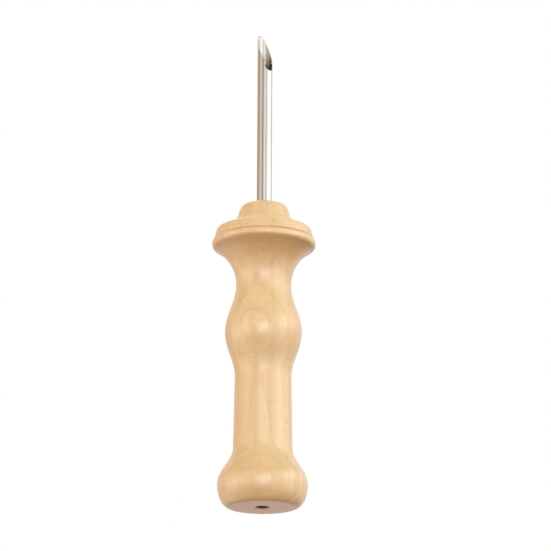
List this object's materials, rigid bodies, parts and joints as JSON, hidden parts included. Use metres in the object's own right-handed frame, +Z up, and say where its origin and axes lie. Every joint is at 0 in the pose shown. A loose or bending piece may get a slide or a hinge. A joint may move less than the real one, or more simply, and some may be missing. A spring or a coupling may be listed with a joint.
{
  "type": "punch needle",
  "caption": "Hollow bevelled steel needle bonded into the nose of a turned wooden handle, which is bored right through to carry the yarn.",
  "frame": {"origin": "centre of the flat base of the handle, on the axis of the yarn channel", "axes": "+Z up the axis from the base to the needle's tip; the open bevel of the needle faces -Y"},
  "size_m": [0.0342, 0.0342, 0.162],
  "materials": {
    "handle_wood": "clear satin lacquer over pale close-grained turned wood",
    "needle_steel": "bright polished steel tube",
    "bond_resin": "hardened clear amber adhesive"
  },
  "bodies": {
    "root": {"handle": "handle_wood", "needle": "needle_steel", "needle_bond": "bond_resin"}
  },
  "joints": []
}
